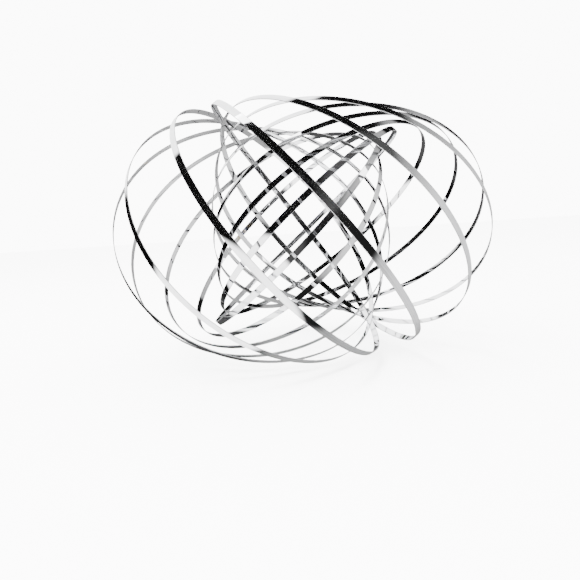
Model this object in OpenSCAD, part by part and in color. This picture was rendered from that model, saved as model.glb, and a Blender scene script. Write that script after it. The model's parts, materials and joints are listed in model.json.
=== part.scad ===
// Kinetic spring coil toy: one flat spring-steel band, wound turn after turn round an open ring
// until it closes on itself. Its ends are joined by one round weld.
// Millimetres. +Z is the axis that an arm passes along, and the origin is the middle of the coil.
//
// Each turn is a circle that leans over, and its centre is carried round the axis while the band
// runs on, so the band never has to stop at the end of a turn. Every turn crosses the middle plane
// twice, on its outside and on its inside, and is split there into an upper and a lower half.
// A half turn tips about the straight line between its two crossings, which stay where they are.

/* [Coil] */
// Turns in the closed coil
turns = 13; // [9:1:15]
// Radius of one turn, at the middle of the band
turn_radius = 58; // [46:1:72]
// Distance from the coil's axis to the centre of each turn
centre_offset = 20; // [14:1:26]
// Mean tilt of the turns out of the middle plane
open_tilt = 51; // [40:1:58]
// How much steeper than the mean the turns stand on the steep side
tilt_swing = 8; // [0:1:10]
// Azimuth of the coil's steep side
steep_side = -132; // [-180:1:180]
// Side to which the turns lean
lean = -1; // [-1, 1]
// Way round the axis in which the turns follow one another
advance = -1; // [-1, 1]

/* [Band] */
// Width of the band
band_width = 2.6; // [2:0.1:4]
// Thickness of the band
band_thickness = 0.35; // [0.25:0.01:0.5]
// Gap between the ends of two half turns
end_clearance = 0.12; // [0.08:0.02:0.4]

/* [Weld] */
// Azimuth of the weld between the band's two ends
weld_side = 113; // [-180:1:180]
// Diameter of the weld
weld_diameter = 2.3; // [1.8:0.1:3.2]
// Height of the weld above each face of the band
weld_rise = 0.2; // [0.1:0.05:0.4]
// Chamfer round the weld's rim
weld_chamfer = 0.25; // [0.05:0.05:0.3]
// Gap between the weld and each end of the band
weld_clearance = 0.1; // [0.05:0.05:0.3]

/* [Detail] */
// Cross-sections along a half turn
sections = 36; // [24:2:44]
// Smoothness of the weld
$fn = 48; // [24:4:96]

/* [Hidden] */
quarter_circle = 90;
half_circle = 2 * quarter_circle;
full_circle = 2 * half_circle;
halves = ["upper", "lower"];
outer_radius = centre_offset + turn_radius;
weld_height = band_thickness + 2 * weld_rise;
weld_trim = weld_diameter / 2 + weld_clearance;
heading_step = 0.05;
steel_colour = [0.78, 0.79, 0.81];
weld_colour = [0.62, 0.62, 0.64];

// A run is the angle travelled along the band: a full circle for each turn, from the weld on.
function two_digits(number) = str(number < 10 ? "0" : "", number);
function half_name(turn, half) = str("turn_", two_digits(turn + 1), "_", halves[half]);
function run_start(turn, half) = turn * full_circle + half * half_circle;
function turn_azimuth(run) = weld_side + advance * run / turns;
function turn_tilt(azimuth) = open_tilt + tilt_swing * cos(azimuth - steep_side);

// A point at a distance out from the axis, a distance across that direction and a height
function around(azimuth, out, across, height) = [
    out * cos(azimuth) - across * sin(azimuth),
    out * sin(azimuth) + across * cos(azimuth),
    height
];
function turn_centre(run) = around(turn_azimuth(run), centre_offset, 0, 0);
function band_point(run) =
    let (azimuth = turn_azimuth(run), tilt = turn_tilt(azimuth))
    around(
        azimuth,
        centre_offset + turn_radius * cos(run),
        lean * turn_radius * sin(run) * cos(tilt),
        turn_radius * sin(run) * sin(tilt)
    );
function unit(vector) = vector / norm(vector);
function band_heading(run) = unit(band_point(run + heading_step) - band_point(run - heading_step));

// The band's cross-section at one run: its broad faces look towards and away from the turn's centre
function band_section(run) =
    let (
        middle = band_point(run),
        heading = band_heading(run),
        edgewise = unit(cross(heading, middle - turn_centre(run))) * band_width / 2,
        facewise = unit(cross(edgewise, heading)) * band_thickness / 2
    )
    [
        middle + edgewise + facewise,
        middle - edgewise + facewise,
        middle - edgewise - facewise,
        middle + edgewise - facewise
    ];

// Length cut from the band at a crossing: half a gap, or room for the weld at its two ends
function end_trim(run) = run % (turns * full_circle) == 0 ? weld_trim : end_clearance / 2;
function trim_angle(run) = end_trim(run) / turn_radius * half_circle / PI;

module half_turn(turn, half) {
    first = run_start(turn, half);
    last = first + half_circle;
    start = first + trim_angle(first);
    step = (last - trim_angle(last) - start) / (sections - 1);
    corners = len(band_section(start));
    final_ring = (sections - 1) * corners;
    points = [for (ring = [0 : sections - 1]) each band_section(start + ring * step)];
    side_faces = [
        for (ring = [0 : sections - 2], corner = [0 : corners - 1])
            let (
                near = ring * corners + corner,
                near_next = ring * corners + (corner + 1) % corners
            )
            each [
                [near, near_next, near_next + corners],
                [near, near_next + corners, near + corners]
            ]
    ];
    start_face = [for (corner = [corners - 1 : -1 : 0]) corner];
    end_face = [for (corner = [0 : corners - 1]) final_ring + corner];
    color(steel_colour) polyhedron(points, [start_face, each side_faces, end_face]);
}

// Lens of fused metal at the band's outermost crossing, lying in the band
module end_weld() {
    rim = weld_diameter / 2;
    middle = weld_height / 2;
    color(weld_colour)
        rotate([0, 0, weld_side])
        translate([outer_radius, 0, 0])
        rotate([0, quarter_circle, 0])
        rotate_extrude()
        polygon([
            [0, -middle],
            [rim - weld_chamfer, -middle],
            [rim, weld_chamfer - middle],
            [rim, middle - weld_chamfer],
            [rim - weld_chamfer, middle],
            [0, middle]
        ]);
}

end_weld();
for (turn = [0 : turns - 1], half = [0 : 1])
    half_turn(turn, half);
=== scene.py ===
import json
import math

import bpy
import numpy as np
from mathutils import Matrix, Vector


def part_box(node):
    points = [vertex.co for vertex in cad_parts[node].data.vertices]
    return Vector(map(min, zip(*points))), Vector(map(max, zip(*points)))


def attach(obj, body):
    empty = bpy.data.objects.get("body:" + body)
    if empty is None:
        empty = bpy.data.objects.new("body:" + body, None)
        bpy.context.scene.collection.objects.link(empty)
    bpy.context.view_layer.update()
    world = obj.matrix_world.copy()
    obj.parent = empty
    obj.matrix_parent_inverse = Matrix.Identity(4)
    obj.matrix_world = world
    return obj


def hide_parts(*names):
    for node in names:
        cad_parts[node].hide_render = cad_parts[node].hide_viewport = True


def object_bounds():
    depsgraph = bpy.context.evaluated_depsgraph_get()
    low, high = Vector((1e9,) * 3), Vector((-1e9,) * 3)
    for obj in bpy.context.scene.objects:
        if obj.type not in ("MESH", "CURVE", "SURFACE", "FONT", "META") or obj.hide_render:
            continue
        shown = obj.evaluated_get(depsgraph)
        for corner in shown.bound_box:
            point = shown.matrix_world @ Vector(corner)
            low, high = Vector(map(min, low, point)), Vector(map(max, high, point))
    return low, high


# Kinetic spring coil toy: an endless strip of polished spring steel, closed by one small weld.
# Each half turn is a mesh of its own, so that the coil can fold.

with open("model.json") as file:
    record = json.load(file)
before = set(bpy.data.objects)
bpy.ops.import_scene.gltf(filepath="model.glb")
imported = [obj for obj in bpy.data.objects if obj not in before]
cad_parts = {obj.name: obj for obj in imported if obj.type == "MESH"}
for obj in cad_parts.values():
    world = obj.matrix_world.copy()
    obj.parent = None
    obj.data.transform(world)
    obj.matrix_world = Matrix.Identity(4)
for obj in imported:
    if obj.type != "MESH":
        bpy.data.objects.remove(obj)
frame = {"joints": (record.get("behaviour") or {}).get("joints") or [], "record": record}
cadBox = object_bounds()
halfNames = [name for name in frame["record"]["behaviour"]["bodies"] if name.startswith("turn_")]
print("frame loaded with", len(halfNames), "half turns")


class Value:  # one output socket, so that shader maths reads like ordinary maths
    def __init__(self, tree, socket=None):
        self.tree = tree
        self.socket = socket

    def node(self, kind, settings=None, inputs=None, output=0):
        made = self.tree.nodes.new(kind)
        for name, setting in (settings or {}).items():
            setattr(made, name, setting)
        for name, given in (inputs or {}).items():
            if isinstance(given, Value):
                self.tree.links.new(given.socket, made.inputs[name])
            else:
                made.inputs[name].default_value = given
        return Value(self.tree, made.outputs[output] if made.outputs else None)

    def maths(self, operation, first, second=0.0):
        return self.node("ShaderNodeMath", {"operation": operation}, {0: first, 1: second})

    def __add__(self, other):
        return self.maths("ADD", self, other)

    def __radd__(self, other):
        return self.maths("ADD", other, self)

    def __sub__(self, other):
        return self.maths("SUBTRACT", self, other)

    def __rsub__(self, other):
        return self.maths("SUBTRACT", other, self)

    def __mul__(self, other):
        return self.maths("MULTIPLY", self, other)

    def __rmul__(self, other):
        return self.maths("MULTIPLY", other, self)

    def __truediv__(self, other):
        return self.maths("DIVIDE", self, other)

    def __rtruediv__(self, other):
        return self.maths("DIVIDE", other, self)

    def size(self):
        return self.maths("ABSOLUTE", self)

    def wave(self):
        return self.maths("SINE", self)

    def fade(self, low, high):  # 0 below low, 1 above high, eased between
        ease = {"interpolation_type": "SMOOTHSTEP", "clamp": True}
        return self.node("ShaderNodeMapRange", ease, {"Value": self, "From Min": low, "From Max": high})


def newMaterial(name):
    material = bpy.data.materials.new(name)
    material.use_nodes = True
    material.node_tree.nodes.clear()
    return material, Value(material.node_tree)


def mixColours(sheet, share, first, second):
    sockets = {0: share, 6: first, 7: second}  # the colour sockets of a Mix node
    return sheet.node("ShaderNodeMix", {"data_type": "RGBA"}, sockets, 2)


polishedSteel = {
    "colour": (0.86, 0.865, 0.875, 1),
    "dullColour": (0.66, 0.665, 0.68, 1),
    "edgePaintedShade": (0.52, 0.52, 0.53, 1),  # the strip is slit, so its edges are rougher than its faces; their darker colour here is painted shade, a dark outline along each edge
    "rubbedColour": (0.95, 0.95, 0.955, 1),  # bright spots where turns rub on one another
    "strawTint": (0.86, 0.70, 0.42, 1),  # heat colours beside the weld
    "blueTint": (0.36, 0.42, 0.64, 1),
    "lineShare": 0.45,  # how much each mark changes the colour
    "smearShare": 0.45,
    "scratchShare": 0.3,
    "rubbedShare": 0.8,
    "heatShare": 0.85,
    "roughness": 0.03,
    "lineRoughness": 0.02,
    "smearRoughness": 0.035,
    "scratchRoughness": 0.03,
    "edgeRoughness": 0.34,
    "rubbedPolish": 0.5,
    "rollLines": ((36.0, 2800.0, 2800.0), 3.0),  # per metre along, across and through, and detail
    "smears": ((130.0, 420.0, 420.0), 3.0),
    "scratches": ((420.0, 6200.0, 6200.0), 2.0),
    "rubbedSpots": ((310.0, 700.0, 700.0), 2.0),
    "waves": ((60.0, 90.0, 90.0), 1.0),  # the strip isn't quite even, so its reflections waver
    "lineFade": (0.42, 0.62),
    "smearFade": (0.46, 0.68),
    "scratchFade": (0.62, 0.72),
    "rubbedFade": (0.54, 0.64),
    "rollDepth": 0.0000005,
    "scratchDepth": 0.0000003,
    "waveDepth": 0.0003,
    "rubbedStart": 0.0009,  # from the strip's middle line
    "edgeStart": 0.00113,
    "edgeEnd": 0.00122,
    "strawReach": (0.0032, 0.0075),  # along the strip, from the weld's centre
    "blueReach": (0.0018, 0.0036),
}


def makePolishedSteel(spec):
    material, sheet = newMaterial("polishedSpringSteel")
    strip = sheet.node("ShaderNodeAttribute", {"attribute_name": "strip"}, output="Vector")
    fromWeld = sheet.node("ShaderNodeAttribute", {"attribute_name": "fromWeld"}, output="Fac")
    across = sheet.node("ShaderNodeSeparateXYZ", {}, {0: strip}, "Y").size()

    def grain(pattern):
        scale, detail = pattern
        place = sheet.node("ShaderNodeVectorMath", {"operation": "MULTIPLY"}, {0: strip, 1: scale})
        return sheet.node("ShaderNodeTexNoise", {}, {"Vector": place, "Scale": 1.0, "Detail": detail})

    rolling = grain(spec["rollLines"])
    smear = grain(spec["smears"]).fade(*spec["smearFade"])
    scratch = grain(spec["scratches"]).fade(*spec["scratchFade"])
    nearEdge = across.fade(spec["rubbedStart"], spec["edgeEnd"])
    # the slit edges: made rougher (real), and darkened in colour as painted shade
    dullEdgeAndPaintedShade = across.fade(spec["edgeStart"], spec["edgeEnd"])
    rubbed = grain(spec["rubbedSpots"]).fade(*spec["rubbedFade"]) * nearEdge
    straw = 1 - fromWeld.fade(*spec["strawReach"])
    blue = 1 - fromWeld.fade(*spec["blueReach"])

    dull = smear * spec["smearShare"] + rolling.fade(*spec["lineFade"]) * spec["lineShare"]
    bright = rubbed * spec["rubbedShare"] + scratch * spec["scratchShare"]
    colour = mixColours(sheet, dull, spec["colour"], spec["dullColour"])
    # painted shade: the edges are darkened in colour, so the strip shows a dark outline
    colour = mixColours(sheet, dullEdgeAndPaintedShade, colour, spec["edgePaintedShade"])
    colour = mixColours(sheet, bright, colour, spec["rubbedColour"])
    colour = mixColours(sheet, straw * spec["heatShare"], colour, spec["strawTint"])
    colour = mixColours(sheet, blue * spec["heatShare"], colour, spec["blueTint"])

    roughness = spec["roughness"] + (rolling - 0.5) * spec["lineRoughness"]
    roughness = roughness + (smear + straw) * spec["smearRoughness"] + scratch * spec["scratchRoughness"]
    roughness = roughness + dullEdgeAndPaintedShade * (1 - rubbed * spec["rubbedPolish"]) * spec["edgeRoughness"]
    height = rolling * spec["rollDepth"] + scratch * spec["scratchDepth"]
    height = height + grain(spec["waves"]) * spec["waveDepth"]
    finish = sheet.node("ShaderNodeBsdfPrincipled", {}, {
        "Base Color": colour,
        "Metallic": 1.0,
        "Roughness": roughness,
        "Normal": sheet.node("ShaderNodeBump", {}, {"Strength": 1.0, "Distance": 1.0, "Height": height}),
    })
    sheet.node("ShaderNodeOutputMaterial", {}, {"Surface": finish})
    return material


weldMetal = {
    "colour": (0.58, 0.575, 0.58, 1),
    "goldTint": (0.70, 0.58, 0.38, 1),
    "blueTint": (0.36, 0.42, 0.60, 1),
    "goldFade": (0.35, 0.95),  # in shares of the bead's radius
    "blueFade": (0.7, 1.0),
    "blueShare": 0.8,
    "patchiness": 0.3,
    "roughness": 0.3,
    "roughnessSpread": 0.35,
    "pits": 3200.0,  # per metre
    "pitDetail": 5.0,
    "ripples": 20800.0,  # radians per metre out from the middle
    "rippleWander": 0.00025,
    "rippleShare": 0.5,
    "reliefStrength": 0.6,
    "reliefDepth": 0.00001,
}


def makeWeldMetal(spec, centre, radius):
    material, sheet = newMaterial("weldMetal")
    place = sheet.node("ShaderNodeNewGeometry", output="Position")
    away = sheet.node("ShaderNodeVectorMath", {"operation": "DISTANCE"}, {0: place, 1: centre}, "Value")
    speckle = {"Vector": place, "Scale": spec["pits"], "Detail": spec["pitDetail"]}
    pits = sheet.node("ShaderNodeTexNoise", {}, speckle)
    ripple = ((away + pits * spec["rippleWander"]) * spec["ripples"]).wave()
    tint = (away / radius + (pits - 0.5) * spec["patchiness"]).fade(*spec["goldFade"])
    colour = mixColours(sheet, tint, spec["colour"], spec["goldTint"])
    colour = mixColours(sheet, tint.fade(*spec["blueFade"]) * spec["blueShare"], colour, spec["blueTint"])
    relief = {"Strength": spec["reliefStrength"], "Distance": spec["reliefDepth"]}
    relief["Height"] = ripple * spec["rippleShare"] + pits
    finish = sheet.node("ShaderNodeBsdfPrincipled", {}, {
        "Base Color": colour,
        "Metallic": 1.0,
        "Roughness": spec["roughness"] + (pits - 0.5) * spec["roughnessSpread"],
        "Normal": sheet.node("ShaderNodeBump", {}, relief),
    })
    sheet.node("ShaderNodeOutputMaterial", {}, {"Surface": finish})
    return material


# The coil's line. A run is the angle travelled along the strip: a full circle for each turn, from
# the weld on. The first hinge lies halfway between the weld and the end of the first half turn.

weldLow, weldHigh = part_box("end_weld")
weldCentre = (weldLow + weldHigh) / 2
firstHinge = next(joint for joint in frame["joints"] if joint["child"] == halfNames[0])
firstInner = 2 * Vector(firstHinge["pos_m"]) - weldCentre

coil = {
    "turns": len(halfNames) // 2,
    "turnRadius": (weldCentre.length + firstInner.length) / 2,
    "centreOffset": (weldCentre.length - firstInner.length) / 2,
    "weldSide": math.atan2(weldCentre.y, weldCentre.x),
    "openTilt": math.radians(51),
    "tiltSwing": math.radians(8),
    "steepSide": math.radians(-132),
    "lean": -1,
    "advance": -1,
    "headingStep": 0.001,  # of run, to find which way the strip heads
}


def aroundAxis(azimuth, out, across, height):
    x = out * np.cos(azimuth) - across * np.sin(azimuth)
    y = out * np.sin(azimuth) + across * np.cos(azimuth)
    return np.stack(np.broadcast_arrays(x, y, height), axis=-1)


def turnAzimuth(run):
    return coil["weldSide"] + coil["advance"] * run / coil["turns"]


def turnCentre(run):
    return aroundAxis(turnAzimuth(run), coil["centreOffset"], 0, 0)


def bandPoint(run):
    azimuth = turnAzimuth(run)
    tilt = coil["openTilt"] + coil["tiltSwing"] * np.cos(azimuth - coil["steepSide"])
    out = coil["centreOffset"] + coil["turnRadius"] * np.cos(run)
    climb = coil["turnRadius"] * np.sin(run)
    return aroundAxis(azimuth, out, coil["lean"] * climb * np.cos(tilt), climb * np.sin(tilt))


def unit(vectors):
    return vectors / np.linalg.norm(vectors, axis=-1, keepdims=True)


weldBead = {
    "radius": 0.00115,
    "rise": 0.000375,  # from the bead's middle plane to its top
    "rimHeight": 0.00012,
    "fullness": 0.6,  # lower is rounder at the shoulder
    "rippleHeight": 0.000016,
    "ripples": 3,
    "rings": 14,
    "sides": 56,
}


def beadProfile(spec):  # shares of the radius, and the bead's height at each
    shares = np.linspace(0, 1, spec["rings"] + 1)[1:]
    crown = spec["rise"] - spec["rimHeight"] - spec["rippleHeight"]
    dome = spec["rimHeight"] + crown * (1 - shares ** 2) ** spec["fullness"]
    ripple = spec["rippleHeight"] * np.cos(shares * math.tau * spec["ripples"]) * (1 - shares)
    return shares, dome + ripple


def makeWeldBead(spec):
    sides, rings = spec["sides"], spec["rings"]
    angles = np.linspace(0, math.tau, sides, endpoint=False)
    upper = [(0, 0, spec["rise"])]
    for share, height in zip(*beadProfile(spec)):
        out = spec["radius"] * share
        upper += [(out * math.cos(angle), out * math.sin(angle), height) for angle in angles]
    below = len(upper)  # a point's mirror image comes this many points later
    rim = below - sides
    faces = []
    for side in range(sides):
        following = (side + 1) % sides
        faces.append((0, 1 + side, 1 + following))
        faces.append((below, below + 1 + following, below + 1 + side))
        for ring in range(rings - 1):
            near = 1 + ring * sides + side
            beside = 1 + ring * sides + following
            faces.append((near, near + sides, beside + sides, beside))
            faces.append((below + near, below + beside, below + beside + sides, below + near + sides))
        faces.append((rim + side, below + rim + side, below + rim + following, rim + following))
    mesh = bpy.data.meshes.new("weldBead")
    mesh.from_pydata(upper + [(x, y, -z) for x, y, z in upper], [], faces)
    mesh.polygons.foreach_set("use_smooth", [True] * len(faces))
    outward = weldCentre.to_track_quat("Z", "Y").to_matrix().to_4x4()
    mesh.transform(Matrix.Translation(weldCentre) @ outward)
    return bpy.data.objects.new("weldBead", mesh)


bead = makeWeldBead(weldBead)
bpy.context.scene.collection.objects.link(bead)
bead.data.materials.append(makeWeldMetal(weldMetal, weldCentre, weldBead["radius"]))
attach(bead, "weld")
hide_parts("end_weld")
print("weld bead made")


band = {
    "width": 0.0026,
    "thickness": 0.00035,
    "edgeRounding": 0.00013,
    "crown": 0.00002,  # how much thinner each face is at its edges than in its middle
    "endGap": 0.00002,
    "faceSteps": 6,
    "edgeSteps": 4,
    "rings": 132,
}


def bandProfile(spec):  # the points of one face and one edge, then their mirror images, with normals
    flat = spec["width"] / 2 - spec["edgeRounding"]
    face = np.linspace(flat, -flat, spec["faceSteps"] + 1)
    rise = spec["thickness"] / 2 - spec["crown"] * (face / flat) ** 2
    slope = 2 * spec["crown"] * face / flat ** 2
    facePoints = np.stack([face, rise], axis=-1)
    faceNormals = unit(np.stack([slope, np.ones_like(face)], axis=-1))
    edgeHeight = spec["thickness"] / 2 - spec["crown"]
    bend = np.linspace(0, math.pi, spec["edgeSteps"] * 2 + 1)[1:-1]
    edgePoints = np.stack([-flat - spec["edgeRounding"] * np.sin(bend), edgeHeight * np.cos(bend)], axis=-1)
    edgeNormals = unit(np.stack([-np.sin(bend) / spec["edgeRounding"], np.cos(bend) / edgeHeight], axis=-1))
    points = np.concatenate([facePoints, edgePoints])
    normals = np.concatenate([faceNormals, edgeNormals])
    return np.concatenate([points, -points]), np.concatenate([normals, -normals])


def capFaces(spec, half):  # a strip's flat end, in pieces that join points across its thickness
    flatSteps, edgeSteps = spec["faceSteps"], spec["edgeSteps"]
    faces = [(i, i + 1, half + flatSteps - i - 1, half + flatSteps - i) for i in range(flatSteps)]
    for start in (flatSteps, flatSteps + half):
        edge = [(start + i) % (2 * half) for i in range(edgeSteps * 2 + 1)]
        faces += [(edge[i], edge[i + 1], edge[-2 - i], edge[-1 - i]) for i in range(edgeSteps - 1)]
        faces.append(tuple(edge[edgeSteps - 1:edgeSteps + 2]))
    return faces


def bandFaces(spec, around):  # the long faces, the start's cap and the end's cap
    ring, corner = np.meshgrid(np.arange(spec["rings"] - 1), np.arange(around), indexing="ij")
    near = ring * around + corner
    beside = ring * around + (corner + 1) % around
    sides = np.stack([near, near + around, beside + around, beside], axis=-1).reshape(-1, 4)
    startCap = capFaces(spec, around // 2)
    lastRing = (spec["rings"] - 1) * around
    endCap = [tuple(point + lastRing for point in reversed(face)) for face in startCap]
    return sides.tolist(), startCap, endCap


def makeHalfTurn(name, index, spec):
    profile, profileNormals = bandProfile(spec)
    trim = spec["endGap"] / 2 / coil["turnRadius"]
    run = np.linspace(index * math.pi + trim, (index + 1) * math.pi - trim, spec["rings"])
    middle = bandPoint(run)
    heading = unit(bandPoint(run + coil["headingStep"]) - bandPoint(run - coil["headingStep"]))
    edgewise = unit(np.cross(heading, middle - turnCentre(run)))
    facewise = np.cross(edgewise, heading)

    def onSections(pairs):  # lays the profile's pairs of numbers in every section along the strip
        return pairs[None, :, :1] * edgewise[:, None] + pairs[None, :, 1:] * facewise[:, None]

    vertices = (middle[:, None] + onSections(profile)).reshape(-1, 3)
    normals = onSections(profileNormals).reshape(-1, 3)
    sides, startCap, endCap = bandFaces(spec, len(profile))
    mesh = bpy.data.meshes.new(name + "Band")
    mesh.from_pydata(vertices.tolist(), [], sides + startCap + endCap)
    mesh.polygons.foreach_set("use_smooth", [True] * len(mesh.polygons))
    cornerNormals = [normals[vertex] for face in sides for vertex in face]
    cornerNormals += [-heading[0] for face in startCap for vertex in face]
    cornerNormals += [heading[-1] for face in endCap for vertex in face]
    mesh.normals_split_custom_set(cornerNormals)
    markStrip(mesh, run, profile)
    return bpy.data.objects.new(name + "Band", mesh)


def markStrip(mesh, run, profile):  # where each point lies on the strip, for the steel's grain
    along = np.repeat(run * coil["turnRadius"], len(profile))
    across, through = np.tile(profile, (len(run), 1)).T
    strip = np.stack([along, across, through], axis=-1)
    length = math.tau * coil["turns"] * coil["turnRadius"]
    fromWeld = np.minimum(along, length - along)
    mesh.attributes.new("strip", "FLOAT_VECTOR", "POINT").data.foreach_set("vector", strip.ravel())
    mesh.attributes.new("fromWeld", "FLOAT", "POINT").data.foreach_set("value", fromWeld)


steel = makePolishedSteel(polishedSteel)
for index, name in enumerate(halfNames):
    piece = makeHalfTurn(name, index, band)
    bpy.context.scene.collection.objects.link(piece)
    piece.data.materials.append(steel)
    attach(piece, name)
    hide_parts(name)
print("band made in", len(halfNames), "half turns of", round(coil["turnRadius"], 4), "m radius")


studio = {
    "white": (1, 1, 1, 1),
    "backdrop": 11.0,
    "dark": 0.006,  # what the steel reflects where no panel stands
    "panels": [  # azimuth and elevation in degrees, cosines at its faded edge, brightness
        (15, -20, -0.38, -0.1, 0.11),
        (15, -20, 0.2, 0.4, 0.6),
        (5, -15, 0.5, 0.98, 1.6),
        (-60, -57, 0.93, 0.98, 0.02),
        (-62, -8, 0.9, 0.96, 0.02),
        (0, 78, 0.88, 0.95, 0.006),
        (60, 29, 0.94, 0.975, 0.006),
        (122, 40, 0.85, 0.89, 4.5),
        (-150, -45, 0.7, 0.78, 4.5),
    ],
    "softboxes": [  # name, place, width and height, power, whether the steel reflects it
        ("topSoftbox", (-0.32, 0.04, 0.7), (0.16, 0.16), 0.7, True),
        ("sideSoftbox", (0.75, -0.15, 0.45), (0.2, 0.35), 1.2, True),
        ("keySoftbox", (-0.5, -0.4, 1.0), (0.35, 0.35), 30.0, False),
    ],
}


def directionOf(azimuth, elevation):
    turn, climb = math.radians(azimuth), math.radians(elevation)
    return (math.cos(climb) * math.cos(turn), math.cos(climb) * math.sin(turn), math.sin(climb))


def makeWorld(spec):
    world = bpy.data.worlds.new("studio")
    world.use_nodes = True
    world.node_tree.nodes.clear()
    sheet = Value(world.node_tree)
    looking = sheet.node("ShaderNodeTexCoord", output="Generated")
    level = spec["dark"]
    for azimuth, elevation, low, high, brightness in spec["panels"]:
        aim = {0: looking, 1: directionOf(azimuth, elevation)}
        facing = sheet.node("ShaderNodeVectorMath", {"operation": "DOT_PRODUCT"}, aim, "Value")
        level = level + facing.fade(low, high) * (brightness - level)
    reflected = sheet.node("ShaderNodeBackground", {}, {"Color": spec["white"], "Strength": level})
    plain = sheet.node("ShaderNodeBackground", {}, {"Color": spec["white"], "Strength": spec["backdrop"]})
    inSteel = sheet.node("ShaderNodeLightPath", output="Is Glossy Ray")
    shown = sheet.node("ShaderNodeMixShader", {}, {0: inSteel, 1: plain, 2: reflected})
    sheet.node("ShaderNodeOutputWorld", {}, {"Surface": shown})
    bpy.context.scene.world = world


def makeSoftbox(name, place, size, power, reflected):
    light = bpy.data.lights.new(name, "AREA")
    light.shape = "RECTANGLE"
    light.size, light.size_y = size
    light.energy = power
    lamp = bpy.data.objects.new(name, light)
    lamp.location = place
    lamp.rotation_euler = (-Vector(place)).to_track_quat("-Z", "Y").to_euler()
    lamp.visible_glossy = reflected
    bpy.context.scene.collection.objects.link(lamp)


makeWorld(studio)
for softbox in studio["softboxes"]:
    makeSoftbox(*softbox)
print("studio lit by", len(studio["softboxes"]), "softboxes")


paper = {
    "size": 8.0,
    "drop": 0.004,  # room under the coil for when it opens further
    "colour": (0.93, 0.93, 0.93, 1),
    "roughness": 0.9,
}


def makePaper(spec):
    reach = spec["size"] / 2
    height = cadBox[0].z - spec["drop"]
    corners = [(-reach, -reach), (reach, -reach), (reach, reach), (-reach, reach)]
    mesh = bpy.data.meshes.new("floor")
    mesh.from_pydata([(x, y, height) for x, y in corners], [], [(0, 1, 2, 3)])
    floor = bpy.data.objects.new("floor", mesh)
    bpy.context.scene.collection.objects.link(floor)
    floor.visible_glossy = False  # the steel reflects the studio's lower half instead
    material, sheet = newMaterial("palePaper")
    look = {"Base Color": spec["colour"], "Roughness": spec["roughness"]}
    finish = sheet.node("ShaderNodeBsdfPrincipled", {}, look)
    sheet.node("ShaderNodeOutputMaterial", {}, {"Surface": finish})
    mesh.materials.append(material)


makePaper(paper)
print("paper laid")


view = {
    "place": (-0.0059, -0.2363, 0.0008),
    "aim": (-0.0066, -0.0015, -0.0266),
    "roll": math.radians(-3.79),
    "lens": 33.5,
    "nearest": 0.01,
}


def makeCamera(spec):
    camera = bpy.data.objects.new("camera", bpy.data.cameras.new("camera"))
    camera.data.lens = spec["lens"]
    camera.data.clip_start = spec["nearest"]
    camera.location = spec["place"]
    looking = Vector(spec["aim"]) - camera.location
    turned = looking.to_track_quat("-Z", "Y").to_matrix() @ Matrix.Rotation(spec["roll"], 3, "Z")
    camera.rotation_euler = turned.to_euler()
    bpy.context.scene.collection.objects.link(camera)
    bpy.context.scene.camera = camera


makeCamera(view)
print("camera set")
